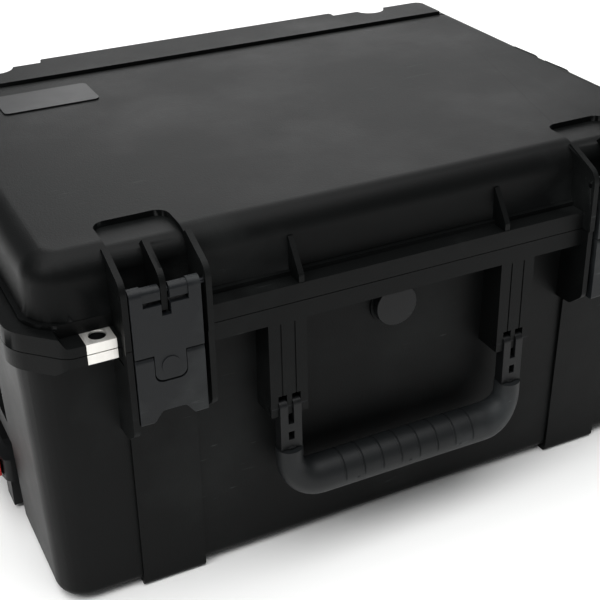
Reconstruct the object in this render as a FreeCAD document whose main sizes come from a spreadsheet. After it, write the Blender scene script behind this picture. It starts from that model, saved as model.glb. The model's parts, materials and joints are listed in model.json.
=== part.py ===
import FreeCAD, Part
import math
import os
import Sketcher

# A moulded wheeled transport case: a deep tub and a shallow lid on a rear hinge, two trigger latches,
# a fold-down carry handle, a pull handle that slides out of the left end, and two wheels at the right end.
# Frame: X runs along the case (pull handle at -X, wheels at +X), Y from the latches to the hinge, Z up.
# The origin lies under the middle of the whole object, on the surface that the feet stand on.

SIZES = (
    # alias, millimetres
    ("case_length", 574),        # lip to lip, end to end
    ("case_depth", 420),         # front lip plane to rear lip plane
    ("seam_height", 233.3),      # parting line between tub and lid
    ("lid_height", 62.2),        # parting line to the flat top of the lid
    ("seam_gap", 0.6),           # open line between the two lips
    ("lip_height", 14),          # height of each lip at the parting line
    ("corner_cut", 32),          # the lip's front corners are cut across by this much
    ("wall", 4),
    ("wall_draft", 6),           # the tub narrows by this much on each side, from lip to foot
    ("corner_radius", 30),       # upright corners of tub and lid
    ("bottom_radius", 9),        # rounding along the tub's bottom edge
    ("front_ledge", 22),         # lip plane to tub wall, front
    ("end_ledge", 6),            # lip plane to tub wall, ends
    ("rear_ledge", 14),          # lip plane to tub wall, rear
    ("floor_height", 30),        # top of the tub's floor
    ("foot_drop", 3.5),          # the feet stand this far below the tub's bottom edge
    ("lid_front_ledge", 16.5),   # lip plane to lid wall, front
    ("lid_end_ledge", 15),       # lip plane to lid wall, ends
    ("lid_rear_ledge", 12),      # lip plane to lid wall, rear
    ("lid_draft", 2),
    ("lid_radius", 19),          # rounding of the lid's top edge
    ("bead_width", 3),           # raised bead round the foot of the lid wall
    ("bead_height", 3.4),
    ("rail_start", 368),         # front lip plane to the front edge of the rail on the lid
    ("rail_rise", 3),            # the rail stands this far above the lid
    ("rail_end_set", 35),        # the rail's ends, in from the lip's ends
    ("rail_bump_set", 136),      # the ends of its deeper middle part, in from the lip's ends
    ("rail_bump", 9),            # how much deeper that part is
    ("lock_end_set", 66),        # padlock plate: its near edge, in from the lip's end
    ("lock_width", 21),
    ("lock_depth", 25),
    ("lock_sheet", 1.5),         # thickness of its stainless sheet
    ("lock_hole_radius", 6),
    ("lock_recess", 6.4),        # the lips are this much lower round the padlock plates
    ("latch_end_set", 98.3),     # the middle of a latch, in from the lip's end
    ("latch_width", 49.4),
    ("latch_proud", 10),         # latch face in front of the lip plane
    ("latch_sheet", 8),          # latch thickness
    ("latch_pin_drop", 24.5),    # lid top to the latch pin
    ("latch_pin_radius", 2),
    ("latch_length", 98.5),      # latch pin to the lower end of the pull lever
    ("lever_length", 53.1),      # upper to lower edge of the pull lever
    ("lever_pin_radius", 1.5),
    ("tongue_width", 22.4),      # tongue of the latch frame that carries the lever pin
    ("tongue_length", 20.3),
    ("tongue_clearance", 1.4),   # room under the tongue, which the lever needs to swing
    ("hook_gap", 0.4),           # the lever's hook stops this far in front of the tub's keeper
    ("ear_thickness", 4.3),
    ("seam_clearance", 0.4),     # gap between latch frame and lever
    ("recess_depth", 4.5),       # shallow recess in the lid behind each latch
    ("boss_near", 82.7),         # handle boss: middle plane to its near face
    ("boss_width", 30),
    ("boss_bottom", 141),
    ("prong_width", 6.4),        # prongs of the carry handle's forks
    ("prong_clearance", 0.3),    # each side of a prong in its slot
    ("boss_middle_rib", 4),
    ("handle_pin_height", 148),
    ("handle_pin_set", 3),       # handle pin behind the front lip plane
    ("handle_pin_radius", 3),
    ("handle_drop", 72),         # handle pin down to the middle of the grip
    ("grip_radius", 15.5),
    ("arm_radius", 10.5),
    ("core_radius", 6),
    ("bend_radius", 24),
    ("valve_height", 199),
    ("valve_radius", 17),
    ("stem_radius", 8.9),
    ("bay_start", 140),          # handle bay in the left end: distance from the lip plane
    ("bay_depth", 29),           # how far it goes in from the end lip plane
    ("bay_bar_low", 84),         # the moulded bar across the bay
    ("bay_bar_high", 104),
    ("end_proud", 5.5),          # pull handle and wheels stand out past the lips by this much
    ("tube_inset", 176),         # pull tubes: distance from the lip planes
    ("tube_height", 15),
    ("tube_radius", 8),
    ("tube_wall", 1.2),
    ("guide_wall", 1.4),
    ("tube_length", 420),
    ("pull_low", 40),            # underside of the pull grip
    ("pull_height", 21),
    ("pull_thickness", 14),
    ("tab_length", 40),          # red release tab
    ("tab_height", 14),
    ("tab_travel", 3),
    ("wheel_radius", 38),
    ("wheel_width", 28),
    ("wheel_inset", 72),         # wheels: distance from the lip planes
    ("wheel_lift", 2),           # the wheels clear the ground by this much while the case lies flat
    ("rim_radius", 30),
    ("axle_radius", 5),
    ("axle_seat", 4),            # how far each axle end goes into its wall
    ("well_wall", 7),            # walls round the wheels
    ("hinge_set", 7.5),          # hinge pin behind the rear lip plane
    ("knuckle_radius", 6.5),
    ("knuckle_length", 30),
    ("hinge_end_set", 107),      # the middle of each hinge, in from the lip's end
    ("hinge_pin_radius", 2.5),
    ("gasket_width", 3),
    ("gasket_set", 16.8),        # lip plane to the seal, front: it passes behind the padlock holes
    ("gasket_height", 3),
    ("label_end_set", 73),       # the label plate, in from the left lip end
    ("label_rear_set", 80),      # and in from the rear lip
    ("label_length", 82.5),
    ("label_width", 45),
    ("label_thick", 1.2),
    ("running_fit", 0.05),       # radial clearance of every piece that turns or slides
    ("snug_fit", 0.02),          # radial clearance of every piece that is held still
)

doc = FreeCAD.newDocument("transport_case")
sheet = doc.addObject("Spreadsheet::Sheet", "Sizes")


class Size:
    """A length that carries its number and the spreadsheet expression that gives it."""

    def __init__(self, number, text):
        self.number = number
        self.text = text

    def __add__(self, other):
        return Size(self.number + number(other), f"({self.text} + {text(other)})")

    def __sub__(self, other):
        return Size(self.number - number(other), f"({self.text} - {text(other)})")

    def __rsub__(self, other):
        return Size(number(other) - self.number, f"({text(other)} - {self.text})")

    def __mul__(self, other):
        return Size(self.number * number(other), f"({self.text} * {text(other)})")

    def __truediv__(self, other):
        return Size(self.number / number(other), f"({self.text} / {text(other)})")

    def __neg__(self):
        return Size(-self.number, f"(0 - {self.text})")

    __radd__ = __add__
    __rmul__ = __mul__


def number(value):
    return value.number if isinstance(value, Size) else float(value)


def text(value):
    return value.text if isinstance(value, Size) else f"({float(value):.6f})"


class Sheet:
    """The spreadsheet's sizes, as attributes named after their aliases."""


s = Sheet()
for row, (alias, value) in enumerate(SIZES, start=1):
    sheet.set(f"A{row}", alias)
    sheet.set(f"B{row}", str(value))
    sheet.setAlias(f"B{row}", alias)
    setattr(s, alias, Size(float(value), f"Sizes.{alias}"))
doc.recompute()

# ---------------------------------------------------------------- building tools

PLANE_TURNS = {
    "XY": FreeCAD.Rotation(),
    "YZ": FreeCAD.Rotation(FreeCAD.Vector(1, 1, 1), 120),
    "XZ": FreeCAD.Rotation(FreeCAD.Vector(1, 0, 0), 90),
}
ROD_TURNS = {
    "X": FreeCAD.Rotation(FreeCAD.Vector(0, 1, 0), 90),
    "Y": FreeCAD.Rotation(FreeCAD.Vector(1, 0, 0), -90),
    "Z": FreeCAD.Rotation(),
}


def bind(item, prop, value):
    item.setExpression(prop, text(value))


def place(item, x, y, z):
    for axis, value in zip("xyz", (x, y, z)):
        bind(item, f"Placement.Base.{axis}", value)


def box(name, x, y, z):
    """A block between two values on each axis."""
    item = doc.addObject("Part::Box", name)
    for side, (low, high) in zip(("Length", "Width", "Height"), (x, y, z)):
        bind(item, side, high - low)
    place(item, x[0], y[0], z[0])
    return item


def rod(name, axis, span, centre, radius):
    """A cylinder along an axis; centre holds its two other coordinates in X, Y, Z order."""
    item = doc.addObject("Part::Cylinder", name)
    bind(item, "Radius", radius)
    bind(item, "Height", span[1] - span[0])
    item.Placement = FreeCAD.Placement(FreeCAD.Vector(), ROD_TURNS[axis])
    where = list(centre)
    where.insert("XYZ".index(axis), span[0])
    place(item, *where)
    return item


def cut(name, base, *tools):
    item = doc.addObject("Part::Cut", name)
    item.Base = base
    item.Tool = tools[0] if len(tools) == 1 else fuse(name + "_tools", *tools)
    return item


def fuse(name, *pieces):
    item = doc.addObject("Part::MultiFuse", name)
    item.Shapes = list(pieces)
    item.Refine = True
    return item


def ring(name, axis, span, centre, outer, inner):
    """A tube along an axis."""
    return cut(name, rod(name + "_outer", axis, span, centre, outer),
               rod(name + "_bore", axis, span, centre, inner))


def corner_points(corners):
    """Where each rounded corner's arc starts, passes and ends; a sharp corner has one point."""
    points = [FreeCAD.Vector(number(c[0]), number(c[1]), 0) for c in corners]
    stations = []
    for index, point in enumerate(points):
        radius = number(corners[index][2]) if len(corners[index]) > 2 else 0
        if not radius:
            stations.append((point, None, point))
            continue
        back = (points[index - 1] - point).normalize()
        ahead = (points[(index + 1) % len(points)] - point).normalize()
        half = back.getAngle(ahead) / 2
        reach = radius / math.tan(half)
        inward = (back + ahead).normalize()
        middle = point + inward * (radius / math.sin(half) - radius)
        stations.append((point + back * reach, middle, point + ahead * reach))
    return points, stations


def outline(sketch, corners):
    """A closed outline of straight sides through (u, v) corners; a third value rounds a corner."""
    points, stations = corner_points(corners)
    count = len(corners)
    sides = [sketch.addGeometry(Part.LineSegment(stations[i][2], stations[(i + 1) % count][0]))
             for i in range(count)]
    for i, corner in enumerate(corners):
        before = sides[i - 1]
        after = sides[i]
        if stations[i][1] is None:
            sketch.addConstraint(Sketcher.Constraint("Coincident", before, 2, after, 1))
            held = (after, 1)
        else:
            begin, middle, end = stations[i]
            turns_left = (middle - begin).cross(end - middle).z > 0
            arc = sketch.addGeometry(Part.Arc(begin, middle, end) if turns_left
                                     else Part.Arc(end, middle, begin))
            start = 1 if turns_left else 2
            sketch.addConstraint(Sketcher.Constraint("Tangent", before, 2, arc, start))
            sketch.addConstraint(Sketcher.Constraint("Tangent", arc, 3 - start, after, 1))
            radius = sketch.addConstraint(Sketcher.Constraint("Radius", arc, number(corner[2])))
            bind(sketch, f"Constraints[{radius}]", corner[2])
            mark = sketch.addGeometry(Part.Point(points[i]), True)
            sketch.addConstraint(Sketcher.Constraint("PointOnObject", mark, 1, before))
            sketch.addConstraint(Sketcher.Constraint("PointOnObject", mark, 1, after))
            held = (mark, 1)
        for kind, value in (("DistanceX", corner[0]), ("DistanceY", corner[1])):
            row = sketch.addConstraint(Sketcher.Constraint(kind, -1, 1, *held, number(value)))
            bind(sketch, f"Constraints[{row}]", value)


def plate(name, plane, corners, span):
    """An outline in a plane, made solid between two values on the third axis."""
    sketch = doc.addObject("Sketcher::SketchObject", name + "_outline")
    sketch.Placement = FreeCAD.Placement(FreeCAD.Vector(), PLANE_TURNS[plane])
    axis = {"XY": "z", "YZ": "x", "XZ": "y"}[plane]
    bind(sketch, f"Placement.Base.{axis}", span[1] if plane == "XZ" else span[0])
    outline(sketch, corners)
    item = doc.addObject("Part::Extrusion", name)
    item.Base = sketch
    item.DirMode = "Normal"
    item.Solid = True
    bind(item, "LengthFwd", span[1] - span[0])
    return item


def rounded(x, y, radius):
    """The four corners of a rounded rectangle."""
    return [(x[0], y[0], radius), (x[1], y[0], radius), (x[1], y[1], radius), (x[0], y[1], radius)]


def origin_plane(body, role):
    return next(f for f in body.Origin.OriginFeatures if f.Role == role)


def tapered(name, low, high, edge_radius=None, edge_on="low"):
    """A body lofted between two rounded rectangles, each (z, x span, y span, corner radius)."""
    body = doc.addObject("PartDesign::Body", name)
    sections = []
    for end, (height, x, y, radius) in (("low", low), ("high", high)):
        sketch = body.newObject("Sketcher::SketchObject", f"{name}_{end}")
        sketch.AttachmentSupport = [(origin_plane(body, "XY_Plane"), "")]
        sketch.MapMode = "FlatFace"
        bind(sketch, "AttachmentOffset.Base.z", height)
        outline(sketch, rounded(x, y, radius))
        sections.append(sketch)
    loft = body.newObject("PartDesign::AdditiveLoft", name + "_loft")
    loft.Profile = sections[1]
    loft.Sections = [sections[0]]
    loft.Ruled = True
    doc.recompute()
    if edge_radius is not None:
        level = number(low[0] if edge_on == "low" else high[0])
        edges = [f"Edge{i}" for i, edge in enumerate(loft.Shape.Edges, start=1)
                 if abs(edge.BoundBox.ZMin - level) < 1e-3 and abs(edge.BoundBox.ZMax - level) < 1e-3]
        fillet = body.newObject("PartDesign::Fillet", name + "_edge")
        fillet.Base = (loft, edges)
        bind(fillet, "Radius", edge_radius)
    return body


def grown(span, by):
    return (span[0] - by, span[1] + by)


def mirrored_span(side, near, far):
    """A span on the left (side -1) or right (side +1) of the middle plane."""
    return (near, far) if side > 0 else (-far, -near)


SIDES = (("left", -1), ("right", 1))
parts = []


def keep(item):
    """Marks a finished sub-part; its name is the node's name."""
    parts.append(item)
    return item


# ---------------------------------------------------------------- shared places

half = s.case_length / 2
hinge_back = s.hinge_set + s.knuckle_radius
grip_proud = s.grip_radius - s.handle_pin_set
front = (grip_proud - hinge_back - s.case_depth) / 2
rear = front + s.case_depth
hinge_y = rear + s.hinge_set
hinge_middle = half - s.hinge_end_set
rail_half = half - s.rail_end_set
rail_bump_half = half - s.rail_bump_set
hinge_z = s.seam_height
base_top = s.seam_height - s.seam_gap / 2
lid_bottom = s.seam_height + s.seam_gap / 2
lip_low = s.seam_height - s.lip_height
lip_high = s.seam_height + s.lip_height
lid_top = s.seam_height + s.lid_height
wall_foot = s.foot_drop
under_floor = s.floor_height - s.wall

latch_middle = half - s.latch_end_set
latch_y = front - s.latch_proud
latch_back = latch_y + s.latch_sheet
latch_pin_y = front - 4.5
latch_pin_z = lid_top - s.latch_pin_drop
barrel_radius = s.latch_pin_radius + 2.6
latch_low = latch_pin_z - s.latch_length
lever_top = latch_low + s.lever_length
frame_low = lever_top + s.seam_clearance
lever_pin_y = latch_y + 5
lever_pin_z = frame_low - 9.2
tongue_low = frame_low - s.tongue_length
keeper_low = lip_low - 15.3
keeper_front = front + 8

handle_y = front + s.handle_pin_set
slot_width = s.prong_width + 2 * s.prong_clearance
boss_rib = (s.boss_width - s.boss_middle_rib - 2 * slot_width) / 2
grip_z = s.handle_pin_height - s.handle_drop
arm_x = s.boss_near + s.boss_width / 2

bay_end = s.case_depth - s.bay_start
tube_y = {"front": front + s.tube_inset, "rear": rear - s.tube_inset}
pull_x = -half - s.end_proud + 1
leg_x = -half + 8
tube_start = leg_x + 3
guide_bore = s.tube_radius + s.running_fit
guide_radius = guide_bore + s.guide_wall
bay_back = -half + s.bay_depth

wheel_x = half + s.end_proud - s.wheel_radius
wheel_z = s.wheel_radius + s.wheel_lift
wheel_y = {"front": front + s.wheel_inset, "rear": rear - s.wheel_inset}
well_gap = 4
well_half = s.wheel_width / 2 + well_gap

lock_near = half - s.lock_end_set
lock_x = lock_near + s.lock_width / 2
lock_y = front + 10
lock_back = lock_y + s.lock_hole_radius + 0.5
lock_top = lip_high - s.lock_recess
lock_bottom = lip_low + s.lock_recess


# ---------------------------------------------------------------- tub and lid: shared shapes

def lip_plate(name, z):
    """The lip's plan: cut across at the front corners, rounded at the rear ones."""
    cut_x = half - s.corner_cut
    corners = [(-cut_x, front, 15), (cut_x, front, 15), (half, front + s.corner_cut, s.corner_radius),
               (half, rear, 38), (-half, rear, 38), (-half, front + s.corner_cut, s.corner_radius)]
    return plate(name, "XY", corners, z)


def lock_recess_cut(name, side, outside, inside):
    """The lowered stretch of lip round a padlock plate, with a ramp on its outer side."""
    near = lock_near - 3
    far = lock_near + s.lock_width + 13
    corners = [(side * near, inside), (side * far, inside), (side * (far + 9), outside),
               (side * near, outside)]
    return plate(name, "XZ", corners, (front - 1, lock_back))


def lock_slot(name, side, z):
    """The room for a padlock's shackle in the moulding: a slot behind the plate's front leaf."""
    x = mirrored_span(side, lock_x - s.lock_hole_radius - 1, lock_x + s.lock_hole_radius + 1)
    return box(name, x, (front - 1, lock_back), z)


def lock_sheet_pieces(name, side, level, direction, fit):
    """The flat leaf and the front leaf of one padlock plate, grown by a fit for the seat."""
    x = grown(mirrored_span(side, lock_near, lock_near + s.lock_width), fit)
    y = grown((front, front + s.lock_depth), fit)
    seam = base_top if direction < 0 else lid_bottom
    inner = level - direction * s.lock_sheet
    leaf_z = (inner, level) if direction > 0 else (level, inner)
    front_z = (seam, level) if direction > 0 else (level, seam)
    leaf = box(name + "_leaf", x, y, grown(leaf_z, fit))
    face = box(name + "_face", x, (front - fit, front + s.lock_sheet + fit), grown(front_z, fit))
    return leaf, face


def lock_plate(name, side, level, direction):
    leaf, face = lock_sheet_pieces(name, side, level, direction, 0)
    hole = rod(name + "_hole", "Z", (lip_low - 5, lip_high + 5), (side * lock_x, lock_y),
               s.lock_hole_radius)
    keep(cut(name, fuse(name + "_blank", leaf, face), hole))


def knuckle(name, x, web_z):
    """One hinge knuckle with the web that joins it to its lip."""
    barrel = rod(name + "_barrel", "X", x, (hinge_y, hinge_z), s.knuckle_radius)
    web = box(name + "_web", x, (rear - 6, hinge_y), web_z)
    return [barrel, web]


def hinge_spans(side):
    """Three knuckles in a row: tub, lid, tub."""
    middle = side * hinge_middle
    return [(middle + (i - 1.5) * s.knuckle_length + 0.3, middle + (i - 0.5) * s.knuckle_length - 0.3)
            for i in range(3)]


# ---------------------------------------------------------------- tub

def tub_outer():
    top_x = half - s.end_ledge
    top_y = (front + s.front_ledge, rear - s.rear_ledge)
    low = (wall_foot, grown((-top_x, top_x), -s.wall_draft), grown(top_y, -s.wall_draft),
           s.corner_radius - s.wall_draft)
    high = (base_top, (-top_x, top_x), top_y, s.corner_radius)
    return tapered("tub_outer", low, high, s.bottom_radius)


def tub_cavity():
    top_x = half - s.end_ledge - s.wall
    top_y = (front + s.front_ledge + s.wall, rear - s.rear_ledge - s.wall)
    radius = s.corner_radius - s.wall
    low = (s.floor_height, grown((-top_x, top_x), -s.wall_draft), grown(top_y, -s.wall_draft),
           radius - s.wall_draft)
    high = (base_top + 1, (-top_x, top_x), top_y, radius)
    return tapered("tub_cavity", low, high, 12)


def tub_underside():
    """The hollow under the floor, where the pull handle's tubes run."""
    foot_x = half - s.end_ledge - s.wall_draft
    foot_y = (front + s.front_ledge + s.wall_draft, rear - s.rear_ledge - s.wall_draft)
    low = (wall_foot - 1, grown((-foot_x, foot_x), -27), grown(foot_y, -27), 8)
    high = (under_floor, grown((-foot_x, foot_x), -14), grown(foot_y, -14), 21)
    return tapered("tub_underside", low, high)


def wheel_well(name, place_y, extra):
    """The space round a wheel, or with extra its walls as well."""
    x = (wheel_x - s.wheel_radius - well_gap - extra, half + 20)
    y = (place_y - well_half - extra, place_y + well_half + extra)
    return box(name, x, y, (wall_foot - 5, wheel_z + s.wheel_radius + well_gap + extra))


def axle_slot(name, place_y):
    """A round-ended slot in both walls of a well; the axle slides in along it from the end."""
    y = grown((place_y, place_y), well_half + s.axle_seat)
    radius = s.axle_radius + s.snug_fit
    seat = rod(name + "_seat", "Y", y, (wheel_x, wheel_z), radius)
    way = box(name + "_way", (wheel_x, half + 20), y, grown((wheel_z, wheel_z), radius))
    return [seat, way]


def handle_bay(name, extra):
    """The two recesses in the left end, or with extra their walls as one block."""
    y = (front + s.bay_start, front + bay_end)
    x = (-half - 20, bay_back)
    if extra:
        return [box(name, (x[0], x[1] + extra), grown(y, extra), (s.foot_drop - 5, lip_low + extra))]
    upper = box(name + "_upper", x, y, (s.bay_bar_high, lip_low - 4))
    lower = box(name + "_lower", x, y, (s.foot_drop - 5, s.bay_bar_low))
    return [upper, lower]


def handle_boss(name, side):
    """Boss that carries one fork of the carry handle, with a groove and two slots for the prongs."""
    x = mirrored_span(side, s.boss_near, s.boss_near + s.boss_width)
    block = box(name + "_block", x, (front, front + s.front_ledge + 6), (s.boss_bottom, lip_low + 1))
    cuts = []
    for index in range(2):
        start = s.boss_near + boss_rib + index * (slot_width + s.boss_middle_rib)
        slot = mirrored_span(side, start, start + slot_width)
        cuts.append(box(f"{name}_slot{index}", slot, (front - 1, front + 14),
                        (s.boss_bottom - 1, s.handle_pin_height + 10)))
        groove = mirrored_span(side, start + slot_width / 2 - 0.6, start + slot_width / 2 + 0.6)
        cuts.append(box(f"{name}_groove{index}", groove, (front - 1, front + 0.8),
                        (s.boss_bottom - 1, lip_low - 1)))
    pin = (handle_y, s.handle_pin_height)
    cuts.append(rod(name + "_bore", "X", grown(x, 1), pin, s.handle_pin_radius + s.snug_fit))
    return cut(name, block, *cuts)


def latch_guards(side, name):
    """Two guard plates, the keeper between them and the raised foot below."""
    outer = latch_middle + s.latch_width / 2 + 0.9
    inner = latch_middle - s.latch_width / 2 - 3.8
    wall_y = front + s.front_ledge + 8
    pieces = []
    for label, near, low, reach in (("outer", outer, 154, 9), ("inner", inner - s.ear_thickness, 164, 8)):
        corners = [(wall_y, low - 2), (front + 6, low, 8), (front - reach, low + 12, 8),
                   (front - reach, base_top), (wall_y, base_top)]
        pieces.append(plate(f"{name}_{label}", "YZ", corners,
                            mirrored_span(side, near, near + s.ear_thickness)))
    keeper_x = mirrored_span(side, inner, outer)
    pieces.append(box(name + "_keeper", keeper_x, (keeper_front, wall_y), (keeper_low, lip_low + 1)))
    pad_x = mirrored_span(side, latch_middle - 26.7, latch_middle + 24.3)
    pad = [(front + 25.8, 0, 5), (front + 56, 0), (front + 56, 12), (front + 40, 40),
           (front + 40, 180), (front + 20.7, 180)]
    pieces.append(plate(name + "_foot", "YZ", pad, pad_x))
    rear_pad = [(rear - 20, 0, 5), (rear - 48, 0), (rear - 48, 12), (rear - 34, 40),
                (rear - 34, 120), (rear - 15.5, 120)]
    pieces.append(plate(name + "_rear_foot", "YZ", rear_pad, pad_x))
    return pieces


def hinge_knuckles_tub():
    pieces = []
    for label, side in SIDES:
        spans = hinge_spans(side)
        for index in (0, 2):
            pieces += knuckle(f"tub_knuckle_{label}{index}", spans[index], (lip_low + 2, base_top))
    return pieces


def hinge_bores(owner, radius):
    return [rod(f"{owner}_hinge_bore_{label}", "X",
                grown((side * hinge_middle, side * hinge_middle), s.knuckle_length * 2),
                (hinge_y, hinge_z), radius) for label, side in SIDES]


def base_shell():
    solids = [tub_outer(), lip_plate("tub_lip", (lip_low, base_top))]
    for label, side in SIDES:
        solids.append(handle_boss(f"tub_boss_{label}", side))
        solids += latch_guards(side, f"tub_guard_{label}")
    solids.append(rod("tub_valve_boss", "Y", (front + 21, front + 33), (0, s.valve_height), 19))
    solids += hinge_knuckles_tub()
    blocks = handle_bay("bay_block", s.wall)
    for label, place_y in wheel_y.items():
        blocks.append(wheel_well(f"well_block_{label}", place_y, s.well_wall))
    cavity = cut("tub_hollow", tub_cavity(), *blocks)
    underside = cut("tub_under_hollow", tub_underside(),
                    *[box(b.Name + "_low", *spans) for b, spans in block_spans(blocks)])
    cuts = [cavity, underside, *handle_bay("bay", 0)]
    for label, place_y in wheel_y.items():
        cuts.append(wheel_well(f"well_{label}", place_y, 0))
        cuts += axle_slot(f"axle_slot_{label}", place_y)
    for label, place_y in tube_y.items():
        cuts.append(rod(f"guide_bore_{label}", "X", (-half, bay_back + 40), (place_y, s.tube_height),
                        guide_radius + s.snug_fit))
    for x, y in saddle_screw_places():
        cuts.append(rod(f"screw_bore{len(cuts)}", "Z", (under_floor - 1, s.floor_height - 1.2), (x, y),
                        2.5 + s.snug_fit))
    cuts.append(rod("stem_bore", "Y", (front + 10, front + 45), (0, s.valve_height),
                    s.stem_radius + s.snug_fit))
    cuts.append(rod("valve_room", "Y", (front - 1, front + 21), (0, s.valve_height),
                    s.valve_radius + 1.6))
    for label, side in SIDES:
        cuts.append(lock_recess_cut(f"tub_recess_{label}", side, lip_low - 1, lock_bottom))
        cuts += lock_sheet_pieces(f"tub_lock_seat_{label}", side, lock_bottom, -1, s.snug_fit)
        cuts.append(lock_slot(f"tub_lock_slot_{label}", side, (lip_low - 5, base_top + 5)))
        middle = hinge_spans(side)[1]
        cuts.append(rod(f"tub_hinge_room_{label}", "X", grown(middle, 0.3), (hinge_y, hinge_z),
                        s.knuckle_radius + 0.5))
    cuts += hinge_bores("tub", s.hinge_pin_radius + s.snug_fit)
    keep(cut("base_shell", fuse("tub_solids", *solids), *cuts))


def block_spans(blocks):
    """The same blocks again, as spans, for the hollow under the floor."""
    spans = [((-half - 20, bay_back + s.wall), grown((front + s.bay_start, front + bay_end), s.wall),
              (s.foot_drop - 5, lip_low))]
    for place_y in wheel_y.values():
        spans.append(((wheel_x - s.wheel_radius - well_gap - s.well_wall, half + 20),
                      grown((place_y, place_y), well_half + s.well_wall), (wall_foot - 5, lip_low)))
    return zip(blocks, spans)


# ---------------------------------------------------------------- lid

def lid_block(name, inset, z, edge_radius, radius):
    """The lid's rounded block, or its hollow when inset by the wall."""
    x = half - s.lid_end_ledge - inset
    y = (front + s.lid_front_ledge + inset, rear - s.lid_rear_ledge - inset)
    low = (z[0], (-x, x), y, radius)
    high = (z[1], grown((-x, x), -s.lid_draft), grown(y, -s.lid_draft), radius - s.lid_draft)
    return tapered(name, low, high, edge_radius, "high")


def lid_bead():
    """The raised bead that runs round the foot of the lid wall."""
    x = half - s.lid_end_ledge + s.bead_width
    y = (front + s.lid_front_ledge - s.bead_width, rear - s.lid_rear_ledge + s.bead_width)
    return plate("lid_bead", "XY", rounded((-x, x), y, s.corner_radius + s.bead_width),
                 (lip_high - 2, lip_high + s.bead_height))


def rear_rail():
    """The flat rail along the rear of the lid; its middle part stands further back."""
    y = (front + s.rail_start, rear - s.lid_rear_ledge)
    z = (lip_high - 3, lid_top + s.rail_rise)
    long_part = plate("rail_long", "XY", [(-rail_half, y[0]), (rail_half, y[0]),
                                          (rail_half, y[1], 8), (-rail_half, y[1], 8)], z)
    bump = plate("rail_bump", "XY", [(-rail_bump_half, y[0]), (rail_bump_half, y[0]),
                                     (rail_bump_half, y[1] + s.rail_bump, 3),
                                     (-rail_bump_half, y[1] + s.rail_bump, 3)], z)
    return [long_part, bump]


def ear_profile(reach, foot, step):
    """Side view of a latch ear, from the lip up over the lid's rounded edge."""
    corners = [(front + 28, foot)]
    if step:
        corners += [(front + 0.5, foot), (front + 0.5, latch_pin_z - 15), (front - reach, latch_pin_z - 14)]
    else:
        corners += [(front - reach, foot)]
    corners += [(front - reach, lid_top - 14, 12), (front + 24, lid_top - 0.4), (front + 34, lid_top - 9)]
    return corners


def latch_ears(name, side):
    width = s.latch_width / 2
    middle = latch_middle
    places = (("outer", middle + width + 0.9, 9.2, False), ("middle", middle - s.ear_thickness / 2, 7, True),
              ("inner", middle - width - 3.8 - s.ear_thickness, 9.2, False))
    return [plate(f"{name}_{label}", "YZ", ear_profile(reach, lid_bottom, step),
                  mirrored_span(side, near, near + s.ear_thickness))
            for label, near, reach, step in places]


def front_rib(name, x):
    """A gusset between the lip and the lid wall."""
    wall_y = front + s.lid_front_ledge
    corners = [(wall_y + 4, lip_high - 3), (front + 0.4, lip_high - 3), (front + 0.4, lip_high + 6, 4),
               (wall_y + 0.5, lid_top - 19), (wall_y + 4, lid_top - 22)]
    return plate(name, "YZ", corners, (x - 2.1, x + 2.1))


def end_rib(name, side, y):
    """A tall rib on the lid's end, shaped like the latch ears."""
    inner = half - s.lid_end_ledge - 8
    corners = [(side * inner, lip_high - 3), (side * (half - 1.5), lip_high - 3),
               (side * (half - 1.5), lid_top - 14, 12), (side * (inner - 6), lid_top - 0.4),
               (side * (inner - 12), lid_top - 9)]
    return plate(name, "XZ", corners, (y - 2.1, y + 2.1))


def latch_recess(name, side, hollow):
    """The shallow recess in the lid between a latch's ears: the space over an inset block."""
    near = latch_middle - s.latch_width / 2 - 3.8
    far = latch_middle + s.latch_width / 2 + 0.9
    x = mirrored_span(side, near, far)
    corners = [(x[0], front - 2), (x[1], front - 2), (x[1], front + 63, 10), (x[0], front + 63, 10)]
    room = plate(name + "_room", "XY", corners, (lip_high + 12, lid_top + 1))
    return cut(name, room, hollow)


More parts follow.
